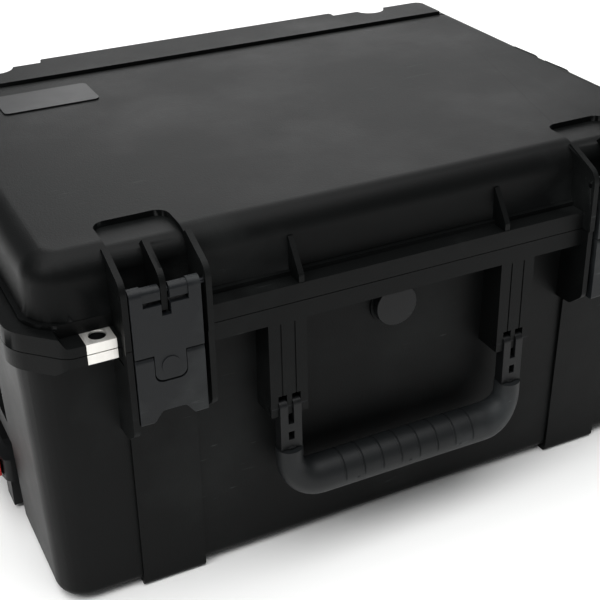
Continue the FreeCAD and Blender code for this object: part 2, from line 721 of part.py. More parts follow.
def lid_shell():
    outer = lid_block("lid_outer", 0, (lid_bottom, lid_top), s.lid_radius, s.corner_radius)
    solids = [outer, lip_plate("lid_lip", (lid_bottom, lip_high)), lid_bead(), *rear_rail()]
    recess_floor = lid_block("lid_recess_floor", s.recess_depth, (lid_bottom, lid_top - s.recess_depth),
                             s.lid_radius - s.recess_depth, s.corner_radius - s.recess_depth)
    groove = box("lid_groove", (-rail_half - 6, rail_half + 6),
                 (front + s.rail_start - 2.4, front + s.rail_start), (lid_top - 2.2, lid_top + 9))
    recesses = [latch_recess(f"lid_recess_{label}", side, recess_floor) for label, side in SIDES]
    blank = cut("lid_blank", fuse("lid_blank_solids", *solids), groove, *recesses)
    added = []
    middle_y = (front + rear) / 2 + 8
    for label, side in SIDES:
        added += latch_ears(f"lid_ear_{label}", side)
        added.append(front_rib(f"lid_rib_{label}", side * 85.7))
        for index, shift in enumerate((-24, 24)):
            added.append(end_rib(f"lid_end_rib_{label}{index}", side, middle_y + shift))
        added += knuckle(f"lid_knuckle_{label}", hinge_spans(side)[1], (lid_bottom, lip_high - 2))
    hollow = lid_block("lid_cavity", s.wall, (lid_bottom - 1, lid_top - s.wall), s.lid_radius - s.wall,
                       s.corner_radius - s.wall)
    backing = []
    for label, side in SIDES:
        x = grown(mirrored_span(side, latch_middle - 33, latch_middle + 31), 1)
        backing.append(box(f"lid_back_{label}", x, (front, front + 30), (lid_bottom - 1, lid_top)))
        backing.append(box(f"lid_roof_{label}", x, (front, front + 68),
                           (lid_top - s.recess_depth - s.wall, lid_top)))
    cuts = [cut("lid_hollow", hollow, *backing), gasket_ring("lid_gasket_groove", s.snug_fit)]
    for label, side in SIDES:
        cuts.append(lock_recess_cut(f"lid_recess_lock_{label}", side, lip_high + 9, lock_top))
        cuts += lock_sheet_pieces(f"lid_lock_seat_{label}", side, lock_top, 1, s.snug_fit)
        cuts.append(lock_slot(f"lid_lock_slot_{label}", side, (lid_bottom - 5, lip_high + 5)))
        span = grown((side * latch_middle, side * latch_middle), 40)
        cuts.append(rod(f"lid_pin_bore_{label}", "X", span, (latch_pin_y, latch_pin_z),
                        s.latch_pin_radius + s.snug_fit))
        cuts.append(rod(f"lid_rail_pocket_{label}", "Z", (lid_top - 3, lid_top + 9),
                        (side * 193.5, rear - s.lid_rear_ledge + 3), 15.5))
        spans = hinge_spans(side)
        for index in (0, 2):
            cuts.append(rod(f"lid_hinge_room_{label}{index}", "X", grown(spans[index], 0.3),
                            (hinge_y, hinge_z), s.knuckle_radius + 0.5))
    cuts += hinge_bores("lid", s.hinge_pin_radius + s.running_fit)
    keep(cut("lid_shell", fuse("lid_solids", blank, *added), *cuts))


def gasket_ring(name, fit):
    """The seal in the lid's lip, which presses on the tub's lip."""
    x = half - 3.5 + fit
    y = (front + s.gasket_set - fit, rear - 4 + fit)
    z = (lid_bottom - (1 if number(fit) else 0), lid_bottom + s.gasket_height + fit)
    width = s.gasket_width + 2 * fit
    corner = s.corner_radius + 4
    outer = plate(name + "_outer", "XY", rounded((-x, x), y, corner), z)
    inner = plate(name + "_inner", "XY", rounded((-x + width, x - width), grown(y, -width),
                                                           corner - width), z)
    return cut(name, outer, inner)


def label_plate():
    x = (-half + s.label_end_set, -half + s.label_end_set + s.label_length)
    y = (rear - s.label_rear_set - s.label_width, rear - s.label_rear_set)
    keep(plate("label_plate", "XY", rounded(x, y, 5), (lid_top, lid_top + s.label_thick)))


# ---------------------------------------------------------------- latches

def latch_frame(label, side):
    """The upper half of a latch: barrel, arms, face and the tongue that carries the lever."""
    name = f"latch_frame_{label}"
    x = mirrored_span(side, latch_middle - s.latch_width / 2, latch_middle + s.latch_width / 2)
    middle = side * latch_middle
    tongue = s.tongue_width / 2
    low = tongue_low
    face = [(x[0], frame_low), (middle - tongue, frame_low), (middle - tongue, low, 6),
            (middle + tongue, low, 6), (middle + tongue, frame_low), (x[1], frame_low),
            (x[1], latch_pin_z), (x[0], latch_pin_z)]
    pieces = [plate(name + "_face", "XZ", face, (latch_y, latch_back))]
    pieces.append(rod(name + "_barrel", "X", x, (latch_pin_y, latch_pin_z), barrel_radius))
    arm = 8.7
    for index, span in enumerate(((x[0], x[0] + arm), (x[1] - arm, x[1]))):
        pieces.append(rod(f"{name}_arm{index}", "X", span, (latch_pin_y, latch_pin_z), 5.5))
    boss = rod(name + "_boss", "Y", (latch_y - 0.8, latch_y + 2), (middle, lever_pin_z), 6.4)
    pieces.append(boss)
    window = box(name + "_window", (x[0] + arm, x[1] - arm), (latch_y - 1, latch_pin_y - barrel_radius + 0.1),
                 (latch_pin_z - 8, latch_pin_z + 8))
    lower_window = box(name + "_window_low", (x[0] + arm, x[1] - arm), (latch_y - 1, latch_back + 1),
                       (latch_pin_z - 8, latch_pin_z - barrel_radius))
    notch = box(name + "_notch", (middle - 3.3, middle + 3.3), (latch_y - 1, latch_back + 8),
                (latch_pin_z - 16.3, latch_pin_z + 8))
    pin = rod(name + "_pin_bore", "X", grown(x, 1), (latch_pin_y, latch_pin_z),
              s.latch_pin_radius + s.running_fit)
    lever_pin = rod(name + "_lever_bore", "X", grown((middle, middle), tongue + 1),
                    (lever_pin_y, lever_pin_z), s.lever_pin_radius + s.running_fit)
    spring_room = rod(name + "_spring_room", "X", (middle - 4.6, middle + 4.6),
                      (lever_pin_y, lever_pin_z), 3.2)
    keep(cut(name, fuse(name + "_blank", *pieces), window, lower_window, notch, pin, lever_pin,
             spring_room))


def pull_lever(label, side):
    """The lower half of a latch: the finger pull, with the hook behind it."""
    name = f"pull_lever_{label}"
    x = mirrored_span(side, latch_middle - s.latch_width / 2, latch_middle + s.latch_width / 2)
    middle = side * latch_middle
    profile = [(latch_y, latch_low, 2), (latch_back, latch_low, 2), (latch_back, lever_top - 5),
               (latch_back - 2, lever_top), (latch_y, lever_top, 4)]
    body = plate(name + "_body", "YZ", profile, x)
    tip = keeper_front - s.hook_gap
    hook = [(latch_back - 1, keeper_low - 9), (tip - 4, keeper_low - 7, 2), (tip, keeper_low - 0.5, 1),
            (latch_back - 1, keeper_low - 0.5)]
    nose = plate(name + "_hook", "YZ", hook, grown((middle, middle), 15))
    gap = s.tongue_width / 2 + s.seam_clearance
    room_low = tongue_low - s.tongue_clearance
    tongue_room = plate(name + "_tongue_room", "XZ",
                        [(middle - gap, lever_top + 1), (middle - gap, room_low, 6),
                         (middle + gap, room_low, 6), (middle + gap, lever_top + 1)],
                        (latch_y - 1, latch_back + 1))
    high = latch_low + 9
    finger = plate(name + "_finger", "XZ",
                   [(middle - 16, latch_low - 1), (middle + 16, latch_low - 1), (middle + 8.5, high, 4),
                    (middle - 8.5, high, 4)], (latch_y - 1, latch_back + 1))
    pin = rod(name + "_pin_bore", "X", grown((middle, middle), gap + 6), (lever_pin_y, lever_pin_z),
              s.lever_pin_radius + s.snug_fit)
    keep(cut(name, fuse(name + "_blank", body, nose), tongue_room, finger, pin))


def latch_pins(label, side):
    middle = side * latch_middle
    x = mirrored_span(side, latch_middle - s.latch_width / 2 - 3.8 - s.ear_thickness,
                      latch_middle + s.latch_width / 2 + 0.9 + s.ear_thickness)
    keep(rod(f"latch_pin_{label}", "X", x, (latch_pin_y, latch_pin_z), s.latch_pin_radius))
    reach = s.tongue_width / 2 + s.seam_clearance + 5.5
    keep(rod(f"lever_pin_{label}", "X", grown((middle, middle), reach), (lever_pin_y, lever_pin_z),
             s.lever_pin_radius))
    keep(ring(f"lever_spring_{label}", "X", (middle - 4.2, middle + 4.2), (lever_pin_y, lever_pin_z), 2.9,
              s.lever_pin_radius + 0.3))


# ---------------------------------------------------------------- carry handle

def bent_bar(name, radius):
    """A round bar along the handle's middle line: two arms, two quarter bends and the grip."""
    top = fork_low
    pieces = [rod(name + "_grip", "X", (-arm_x + s.bend_radius, arm_x - s.bend_radius),
                  (handle_y, grip_z), radius)]
    for label, side in SIDES:
        pieces.append(rod(f"{name}_arm_{label}", "Z", (grip_z + s.bend_radius, top),
                          (side * arm_x, handle_y), radius))
        bend = doc.addObject("Part::Torus", f"{name}_bend_{label}")
        bind(bend, "Radius1", s.bend_radius)
        bind(bend, "Radius2", radius)
        bend.Angle3 = 90
        turn = FreeCAD.Rotation(FreeCAD.Vector(1, 0, 0), 90)
        quarter = 180 if side < 0 else 270
        bend.Placement = FreeCAD.Placement(
            FreeCAD.Vector(), turn.multiply(FreeCAD.Rotation(FreeCAD.Vector(0, 0, 1), quarter)))
        place(bend, side * (arm_x - s.bend_radius), handle_y, grip_z + s.bend_radius)
        pieces.append(bend)
    return pieces


fork_low = grip_z + s.bend_radius + 12


def handle_fork(name, side):
    """Two prongs on a bridge with a square window, shaped like the letter H."""
    start = s.boss_near + boss_rib + s.prong_clearance
    end = s.boss_near + s.boss_width - boss_rib - s.prong_clearance
    x = mirrored_span(side, start, end)
    thick = 5
    block = box(name + "_block", x, (handle_y - thick, handle_y + thick), (fork_low - 2, s.handle_pin_height))
    crown = rod(name + "_crown", "X", x, (handle_y, s.handle_pin_height), thick)
    gap = mirrored_span(side, start + s.prong_width, end - s.prong_width)
    slot = box(name + "_gap", gap, (handle_y - thick - 1, handle_y + thick + 1),
               (s.boss_bottom - 8, s.handle_pin_height + thick + 1))
    window = box(name + "_window", gap, (handle_y - thick - 1, handle_y + thick + 1),
                 (fork_low + 7, fork_low + 14))
    bore = rod(name + "_bore", "X", grown(x, 1), (handle_y, s.handle_pin_height),
               s.handle_pin_radius + s.running_fit)
    return cut(name, fuse(name + "_blank", block, crown), slot, window, bore)


def carry_handle():
    core = bent_bar("core", s.core_radius)
    forks = [handle_fork(f"fork_{label}", side) for label, side in SIDES]
    keep(fuse("handle_frame", *core, *forks))
    sleeve = bent_bar("sleeve", s.arm_radius)
    length = arm_x - s.bend_radius + 2
    sleeve.append(rod("sleeve_thick", "X", (-length, length), (handle_y, grip_z), s.grip_radius))
    bore = fuse("sleeve_bore", *bent_bar("sleeve_bore_part", s.core_radius + s.snug_fit))
    top = fork_low - 2
    caps = [box(f"sleeve_cap_{label}", grown((side * arm_x, side * arm_x), s.arm_radius + 1),
                (handle_y - 20, handle_y + 20), (top, top + 8)) for label, side in SIDES]
    keep(cut("handle_grip", fuse("sleeve_blank", *sleeve), bore, *caps))
    for label, side in SIDES:
        x = grown(mirrored_span(side, s.boss_near, s.boss_near + s.boss_width), -0.5)
        keep(rod(f"handle_pin_{label}", "X", x, (handle_y, s.handle_pin_height), s.handle_pin_radius))


# ---------------------------------------------------------------- pressure valve

def pressure_valve():
    axis = (0, s.valve_height)
    nut_radius = 15
    nut_length = 5
    drop = (base_top + 1 - (s.valve_height - nut_radius)) / (base_top + 1 - s.floor_height)
    nut_y = front + s.front_ledge + s.wall + s.wall_draft * drop
    stem_end = nut_y + nut_length + 1.5
    flange = rod("valve_flange", "Y", (front + 17, front + 19.8), axis, 15)
    stem = rod("valve_stem", "Y", (front + 17, stem_end), axis, s.stem_radius)
    vent = rod("valve_vent", "Y", (front + 18, stem_end + 1), axis, 3)
    keep(cut("valve_body", fuse("valve_solid", flange, stem), vent))
    keep(ring("valve_seal", "Y", (front + 19.8, front + 21), axis, 13.5, s.stem_radius + 0.1))
    cap = rod("valve_cap_blank", "Y", (front + 14.6, front + 20.6), axis, s.valve_radius)
    room = rod("valve_cap_room", "Y", (front + 16.98, front + 21), axis, 15.1)
    keep(cut("valve_cap", cap, room))
    nut_blank = doc.addObject("Part::Prism", "valve_nut_blank")
    nut_blank.Polygon = 6
    nut_blank.Circumradius = nut_radius
    nut_blank.Height = nut_length
    nut_blank.Placement = FreeCAD.Placement(FreeCAD.Vector(), ROD_TURNS["Y"])
    place(nut_blank, 0, nut_y, s.valve_height)
    keep(cut("valve_nut", nut_blank, rod("valve_nut_bore", "Y", (nut_y - 1, stem_end + 1), axis,
                                         s.stem_radius + s.snug_fit)))


# ---------------------------------------------------------------- pull handle

def saddle_x():
    return (-half + 97, half - 177)


def saddle_screw_places():
    places = []
    for x in saddle_x():
        for y in tube_y.values():
            places += [(x, y - guide_radius - 5), (x, y + guide_radius + 5)]
    return places


def guide_tubes():
    span = (bay_back + 4, half - 120)
    for label, y in tube_y.items():
        keep(ring(f"guide_tube_{label}", "X", span, (y, s.tube_height), guide_radius, guide_bore))
    for index, x in enumerate(saddle_x()):
        name = ("saddle_left", "saddle_right")[index]
        reach = guide_radius + 11
        block = box(name + "_block", (x - 10, x + 10), (tube_y["front"] - reach, tube_y["rear"] + reach),
                    (s.foot_drop + 3, under_floor - 0.02))
        bores = [rod(f"{name}_bore_{label}", "X", (x - 11, x + 11), (y, s.tube_height),
                     guide_radius + s.snug_fit) for label, y in tube_y.items()]
        holes = [rod(f"{name}_hole{n}", "Z", (s.foot_drop, s.floor_height), place, 2.5 + s.snug_fit)
                 for n, place in enumerate(saddle_screw_places()) if abs(number(place[0] - x)) < 1]
        keep(cut(name, block, *bores, *holes))
    screws = []
    for n, place in enumerate(saddle_screw_places()):
        shank = rod(f"screw_shank{n}", "Z", (s.foot_drop + 1, s.floor_height - 1.5), place, 2.5)
        head = rod(f"screw_head{n}", "Z", (s.foot_drop + 0.5, s.foot_drop + 3), place, 4.5)
        screws.append(fuse(f"screw{n}", shank, head))
    group = doc.addObject("Part::Compound", "saddle_screws")
    group.Links = screws
    keep(group)


def pull_grip():
    """The bowed grip with a leg down to each tube and a pocket for each release tab."""
    z = (s.pull_low, s.pull_low + s.pull_height)
    y = (front + s.bay_start + 10, front + bay_end - 10)
    inner = pull_x + s.pull_thickness
    corners = [(inner + 9, y[0], 3), (inner + 9, y[0] + 12, 3), (inner, y[0] + 24, 8),
               (inner, y[1] - 24, 8), (inner + 9, y[1] - 12, 3), (inner + 9, y[1], 3),
               (pull_x + 8, y[1], 6), (pull_x, y[1] - 46, 60), (pull_x, y[0] + 46, 60),
               (pull_x + 8, y[0], 6)]
    pieces = [plate("pull_bar", "XY", corners, z)]
    cuts = []
    leg = s.tube_radius + 3
    for label, tube in tube_y.items():
        pieces.append(box(f"pull_leg_{label}", (leg_x, bay_back - 1), (tube - leg, tube + leg),
                          (s.tube_height - leg, z[1] - 4)))
        cuts.append(rod(f"pull_socket_{label}", "X", (tube_start, half), (tube, s.tube_height),
                        s.tube_radius + s.snug_fit))
        tab = tab_spans(label)
        cuts.append(box(f"pull_pocket_{label}", (pull_x - 2, pull_x + 9), grown(tab[0], 0.3),
                        grown(tab[1], 0.3)))
    keep(cut("pull_grip", fuse("pull_blank", *pieces), *cuts))


def tab_spans(label):
    y = tube_y[label]
    z = s.pull_low + 4
    return (y - s.tab_length / 2, y + s.tab_length / 2), (z, z + s.tab_height)


def release_tabs():
    for label in tube_y:
        y, z = tab_spans(label)
        x = (pull_x - 1, pull_x + 9 - s.tab_travel - 0.6)
        corners = [(x[1], y[0]), (x[1], y[1]), (x[0], y[1], 2.5), (x[0], y[0], 2.5)]
        tab = plate(f"release_tab_{label}_blank", "XY", corners, z)
        middle = ((y[0] + y[1]) / 2, (z[0] + z[1]) / 2)
        seat = rod(f"release_tab_{label}_seat", "X", (x[1] - 3, x[1] + 1), middle, 4.3)
        keep(cut(f"release_tab_{label}", tab, seat))
        keep(ring(f"release_spring_{label}", "X", (x[1] - 3, pull_x + 9), middle, 4, 3))


def pull_tubes():
    for label, y in tube_y.items():
        keep(ring(f"pull_tube_{label}", "X", (tube_start, tube_start + s.tube_length), (y, s.tube_height),
                  s.tube_radius, s.tube_radius - s.tube_wall))


# ---------------------------------------------------------------- wheels and hinge

def wheel(label, y):
    centre = (wheel_x, wheel_z)
    width = s.wheel_width / 2
    span = grown((y, y), width)
    tread = ring(f"tyre_{label}_tread", "Y", grown(span, -3), centre, s.wheel_radius, s.rim_radius)
    flank = ring(f"tyre_{label}_flank", "Y", span, centre, s.wheel_radius - 3, s.rim_radius)
    keep(fuse(f"tyre_{label}", tread, flank))
    rim = ring(f"hub_{label}_rim", "Y", grown(span, -1), centre, s.rim_radius - s.snug_fit, 24)
    web = ring(f"hub_{label}_web", "Y", grown((y, y), 3), centre, 25, 9)
    boss = ring(f"hub_{label}_boss", "Y", grown(span, 2.5), centre, 12, 8 + s.snug_fit)
    spokes = []
    for index in range(5):
        spoke = doc.addObject("Part::Box", f"hub_{label}_spoke{index}")
        spoke.Length = 15
        spoke.Width = 20
        spoke.Height = 5
        turn = FreeCAD.Rotation(FreeCAD.Vector(0, 1, 0), 72 * index)
        corner = turn.multVec(FreeCAD.Vector(10.5, 0, -2.5))
        spoke.Placement = FreeCAD.Placement(FreeCAD.Vector(), turn)
        place(spoke, wheel_x + corner.x, y - 10, wheel_z + corner.z)
        spokes.append(spoke)
    hub = fuse(f"hub_{label}_blank", rim, web, boss, *spokes)
    keep(cut(f"hub_{label}", hub, rod(f"hub_{label}_bore", "Y", grown(span, 4), centre, 8 + s.snug_fit)))
    keep(ring(f"bush_{label}", "Y", grown(span, 2.5), centre, 8, s.axle_radius + s.running_fit))
    keep(rod(f"axle_{label}", "Y", grown((y, y), well_half + s.axle_seat - 0.1), centre, s.axle_radius))


def axle_keepers():
    """Bars pressed into the slots behind the axles."""
    bars = []
    x = (wheel_x + s.axle_radius + 0.05, half - s.end_ledge - s.wall_draft - 1)
    z = grown((wheel_z, wheel_z), s.axle_radius)
    for label, y in wheel_y.items():
        inner = well_half
        outer = well_half + s.axle_seat - 0.1
        bars.append(box(f"keeper_low_{label}", x, (y - outer, y - inner), z))
        bars.append(box(f"keeper_high_{label}", x, (y + inner, y + outer), z))
    group = doc.addObject("Part::Compound", "axle_keepers")
    group.Links = bars
    keep(group)


def hinge_pins():
    for label, side in SIDES:
        spans = hinge_spans(side)
        keep(rod(f"hinge_pin_{label}", "X", (spans[0][0], spans[2][1]), (hinge_y, hinge_z),
                 s.hinge_pin_radius))


base_shell()
lid_shell()
keep(gasket_ring("lid_gasket", 0))
label_plate()
for label, side in SIDES:
    lock_plate(f"lid_lock_plate_{label}", side, lock_top, 1)
    lock_plate(f"base_lock_plate_{label}", side, lock_bottom, -1)
    latch_frame(label, side)
    pull_lever(label, side)
    latch_pins(label, side)
carry_handle()
pressure_valve()
guide_tubes()
pull_grip()
release_tabs()
pull_tubes()
for label, y in wheel_y.items():
    wheel(label, y)
axle_keepers()
hinge_pins()
doc.recompute()

for item in doc.Objects:
    if "Invalid" in item.State or "Error" in item.State:
        raise RuntimeError(f"{item.Name} did not rebuild: {item.State}")
os.makedirs("parts", exist_ok=True)
for item in parts:
    if item.Shape.isNull() or not item.Shape.isValid():
        raise RuntimeError(f"{item.Name} has no valid shape")
for item in parts:
    item.Shape.exportStep(f"parts/{item.Label}.step")
    print(f"{item.Label}: {len(item.Shape.Solids)} solid(s), {item.Shape.Volume / 1000:.1f} cm3")
box_all = Part.makeCompound([item.Shape for item in parts]).BoundBox
print(len(parts), "nodes", box_all)
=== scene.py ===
import json
import math

import bmesh
import bpy
from mathutils import Matrix, Vector


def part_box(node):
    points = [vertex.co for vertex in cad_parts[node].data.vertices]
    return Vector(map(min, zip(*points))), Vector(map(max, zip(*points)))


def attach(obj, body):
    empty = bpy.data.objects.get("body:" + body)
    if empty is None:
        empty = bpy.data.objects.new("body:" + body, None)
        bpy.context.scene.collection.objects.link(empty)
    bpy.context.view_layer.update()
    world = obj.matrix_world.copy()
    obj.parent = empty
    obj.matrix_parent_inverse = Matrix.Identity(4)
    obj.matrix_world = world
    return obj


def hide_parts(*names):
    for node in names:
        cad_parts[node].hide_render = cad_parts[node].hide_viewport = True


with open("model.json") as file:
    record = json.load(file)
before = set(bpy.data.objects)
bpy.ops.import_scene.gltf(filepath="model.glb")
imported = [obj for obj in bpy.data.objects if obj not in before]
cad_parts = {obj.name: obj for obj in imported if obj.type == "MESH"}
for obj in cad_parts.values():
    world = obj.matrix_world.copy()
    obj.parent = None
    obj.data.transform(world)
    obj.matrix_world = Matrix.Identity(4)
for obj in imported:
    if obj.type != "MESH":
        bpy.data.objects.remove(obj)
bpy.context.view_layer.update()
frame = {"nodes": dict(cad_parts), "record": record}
scene = bpy.context.scene
scene.view_settings.view_transform = "Standard"

# ---------------------------------------------------------------- camera
# A long lens, a little to the left of the case and above it, so that the front, the lid's top and
# a sliver of the left end are seen. Its place is given from the lips' front plane.

front_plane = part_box("lid_lock_plate_left")[0].y
CAMERA_PLACE = Vector((-0.4026, front_plane - 0.6622, 0.6481))
CAMERA_YAW = 0.444
CAMERA_PITCH = 0.514
CAMERA_ROLL = -0.022
camera_data = bpy.data.cameras.new("camera")
camera_data.lens = 72.23
camera_data.sensor_width = 36
camera = bpy.data.objects.new("camera", camera_data)
turn = (Matrix.Rotation(-CAMERA_YAW, 4, "Z") @ Matrix.Rotation(math.pi / 2 - CAMERA_PITCH, 4, "X")
        @ Matrix.Rotation(CAMERA_ROLL, 4, "Z"))
camera.matrix_world = Matrix.Translation(CAMERA_PLACE) @ turn
scene.collection.objects.link(camera)
scene.camera = camera

# ---------------------------------------------------------------- studio
# A pale paper floor under soft light. The broad light behind the case is what the lid's top
# mirrors, so the top reads grey while the front stays nearly black.


def hex_colour(code):
    """An sRGB hex colour as the linear RGBA that shaders take."""
    channels = [int(code[i:i + 2], 16) / 255 for i in (1, 3, 5)]
    linear = [c / 12.92 if c <= 0.04045 else ((c + 0.055) / 1.055) ** 2.4 for c in channels]
    return (*linear, 1.0)


def add_node(tree, kind, settings=None, **inputs):
    """Adds one node; an input is a value or another node's output socket."""
    node = tree.nodes.new(kind)
    for name, value in (settings or {}).items():
        setattr(node, name, value)
    for name, value in inputs.items():
        key = int(name[3:]) if name.startswith("in_") else name.replace("_", " ")
        socket = node.inputs[key]
        if isinstance(value, bpy.types.NodeSocket):
            tree.links.new(value, socket)
        else:
            socket.default_value = value
    return node


def new_material(name):
    material = bpy.data.materials.new(name)
    material.use_nodes = True
    material.node_tree.nodes.clear()
    return material, material.node_tree


def soft_light(name, place, aim, size, power):
    """A square area light at a place, turned towards a point."""
    lamp = bpy.data.lights.new(name, "AREA")
    lamp.shape = "SQUARE"
    lamp.size = size
    lamp.energy = power
    item = bpy.data.objects.new(name, lamp)
    item.location = place
    item.rotation_euler = (Vector(aim) - Vector(place)).to_track_quat("-Z", "Y").to_euler()
    scene.collection.objects.link(item)


FLOOR_SIZE = 24.0
floor_mesh = bmesh.new()
bmesh.ops.create_grid(floor_mesh, x_segments=2, y_segments=2, size=FLOOR_SIZE / 2)
floor_data = bpy.data.meshes.new("floor")
floor_mesh.to_mesh(floor_data)
floor_mesh.free()
floor = bpy.data.objects.new("floor", floor_data)
scene.collection.objects.link(floor)
paper, tree = new_material("floor_paper")
shader = add_node(tree, "ShaderNodeBsdfPrincipled", Base_Color=hex_colour("#FBFBFA"), Roughness=0.95)
shader.inputs["Specular IOR Level"].default_value = 0.1
add_node(tree, "ShaderNodeOutputMaterial", Surface=shader.outputs["BSDF"])
floor_data.materials.append(paper)

world = bpy.data.worlds.new("studio")
scene.world = world
world.use_nodes = True
world.node_tree.nodes["Background"].inputs["Color"].default_value = hex_colour("#F4F6F8")
world.node_tree.nodes["Background"].inputs["Strength"].default_value = 0.24

soft_light("back_light", (1.0, 2.1, 1.7), (0, 0, 0.28), 2.0, 24)
soft_light("top_light", (-0.3, -0.4, 3.6), (0, 0, 0), 4.5, 210)
soft_light("left_light", (-2.0, -0.9, 1.9), (-0.2, -0.1, 0.25), 1.0, 16)

# ---------------------------------------------------------------- tub
# The tub is one injection moulding in black polypropylene, with a fine spark-eroded grain that
# spreads every reflection. It carries light scratches and a little dust. Its edges leave the mould
# slightly rounded.

MM = 0.001
body_of_node = {n: b for b, members in frame["record"]["behaviour"]["bodies"].items() for n in members}


# Two sets of long fine scratches, each its turns and how much finer it is than a metre along X, Y, Z.
SCRATCH_WAYS = (((0.2, 0.1, 0.6), (30.0, 700.0, 300.0)), ((0.1, 0.3, 2.3), (25.0, 600.0, 260.0)))
PATCH_SCALE = 9.0
GRAIN_HEIGHT = 0.4 * MM
PLASTIC_IOR = 1.49


def plastic(name, colour, scuff_colour, roughness, grain_mm, grain_depth, wear, dust=0.0, shine=0.3):
    """Moulded plastic: grain as bump, slow patches in gloss, fine scratches and pale scuffs.

    The real grain is about 0.1 mm across, too fine to show, so grain_mm draws it several times coarser.
    """
    material, tree = new_material(name)
    place = add_node(tree, "ShaderNodeTexCoord").outputs["Object"]
    grain = add_node(tree, "ShaderNodeTexNoise", Vector=place, Scale=1000 / grain_mm, Detail=2.0)
    patches = add_node(tree, "ShaderNodeTexNoise", Vector=place, Scale=PATCH_SCALE, Detail=5.0, Roughness=0.6)
    marks = []
    for angles, stretch in SCRATCH_WAYS:
        way = add_node(tree, "ShaderNodeMapping", Vector=place, Rotation=angles, Scale=stretch)
        marks.append(add_node(tree, "ShaderNodeTexNoise", Vector=way.outputs["Vector"], Scale=1.0,
                              Detail=3.0).outputs["Fac"])
    both = add_node(tree, "ShaderNodeMath", {"operation": "MAXIMUM"}, in_0=marks[0], in_1=marks[1])
    thin = add_node(tree, "ShaderNodeMapRange", Value=both.outputs[0], From_Min=0.70, From_Max=0.80)
    where = add_node(tree, "ShaderNodeMapRange", Value=patches.outputs["Fac"], From_Min=0.52, From_Max=0.72)
    worn = add_node(tree, "ShaderNodeMath", {"operation": "MULTIPLY"}, in_0=thin.outputs[0],
                    in_1=where.outputs[0])
    haze = add_node(tree, "ShaderNodeMath", {"operation": "MULTIPLY"}, in_0=where.outputs[0], in_1=dust)
    amount = add_node(tree, "ShaderNodeMath", {"operation": "MULTIPLY_ADD", "use_clamp": True},
                      in_0=worn.outputs[0], in_1=wear, in_2=haze.outputs[0])
    tint = add_node(tree, "ShaderNodeMix", {"data_type": "RGBA"}, in_0=amount.outputs[0])
    tint.inputs[6].default_value = hex_colour(colour)
    tint.inputs[7].default_value = hex_colour(scuff_colour)
    gloss = add_node(tree, "ShaderNodeMapRange", Value=patches.outputs["Fac"], From_Min=0.3, From_Max=0.7,
                     To_Min=roughness - 0.06, To_Max=roughness + 0.06)
    bump = add_node(tree, "ShaderNodeBump", Height=grain.outputs["Fac"], Strength=grain_depth,
                    Distance=GRAIN_HEIGHT)
    shader = add_node(tree, "ShaderNodeBsdfPrincipled", Base_Color=tint.outputs[2],
                      Roughness=gloss.outputs[0], Normal=bump.outputs["Normal"], IOR=PLASTIC_IOR)
    shader.inputs["Specular IOR Level"].default_value = shine
    add_node(tree, "ShaderNodeOutputMaterial", Surface=shader.outputs["BSDF"])
    return material


def finish(material, *nodes):
    """Gives CAD nodes that keep their own shape their material."""
    for node in nodes:
        data = frame["nodes"][node].data
        data.materials.clear()
        data.materials.append(material)


def add_piece(name, mesh, material, node):
    """Makes a piece from a bmesh, in the place and on the body of the CAD node that it stands for."""
    data = bpy.data.meshes.new(name)
    mesh.to_mesh(data)
    mesh.free()
    data.polygons.foreach_set("use_smooth", [True] * len(data.polygons))
    data.materials.append(material)
    item = bpy.data.objects.new(name, data)
    scene.collection.objects.link(item)
    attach(item, body_of_node[node])
    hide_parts(node)
    return item


SHARPEST_CURVE = 28    # degrees between faces: more is an edge, less is part of a curved face


def moulded(material, node, radius_mm, segments=2):
    """A CAD node again, its flat faces joined up and its sharp edges rounded as a mould leaves them."""
    finish(material, node)
    mesh = bmesh.new()
    mesh.from_mesh(frame["nodes"][node].data)
    bmesh.ops.remove_doubles(mesh, verts=mesh.verts, dist=0.02 * MM)
    bmesh.ops.dissolve_limit(mesh, angle_limit=math.radians(1.0), verts=mesh.verts, edges=mesh.edges)
    item = add_piece(node + "_moulding", mesh, material, node)
    edge = item.modifiers.new("edge", "BEVEL")
    edge.width = radius_mm * MM
    edge.segments = segments
    edge.limit_method = "ANGLE"
    edge.angle_limit = math.radians(SHARPEST_CURVE)
    edge.harden_normals = True
    flats = item.modifiers.new("flats", "WEIGHTED_NORMAL")
    flats.weight = 60
    flats.keep_sharp = True


# Black polypropylene: nearly black in front, grey only where it mirrors a light at a low angle.
case_plastic = plastic("polypropylene_grained", "#070808", "#565A59", roughness=0.46, grain_mm=1.1,
                       grain_depth=0.3, wear=0.8, dust=0.06, shine=0.1)
moulded(case_plastic, "base_shell", 0.9)

# ---------------------------------------------------------------- lid
# The lid is the same moulding material as the tub. Its rubber seal is pressed into a groove in its
# lip. The label plate is a dark printed film on a thin backing, left blank.

moulded(case_plastic, "lid_shell", 1.0)
# Moulded rubber: dull and darker than the case round it.
seal_rubber = plastic("seal_rubber", "#0A0A0A", "#2E2E2E", roughness=0.7, grain_mm=0.7, grain_depth=0.3,
                      wear=0.2)
finish(seal_rubber, "lid_gasket")
# Printed polyester film: smoother than the lid, so it catches the light as one even patch.
label_film = plastic("label_film", "#0D0E10", "#4A4C4D", roughness=0.4, grain_mm=1.5, grain_depth=0.05,
                     wear=0.3, shine=0.25)
moulded(label_film, "label_plate", 0.25)

# ---------------------------------------------------------------- padlock plates
# Bent stainless sheet, 1.5 mm thick, let into the lips on both sides of the seam. It is brushed
# along the bend and bright, the only light thing on the case.


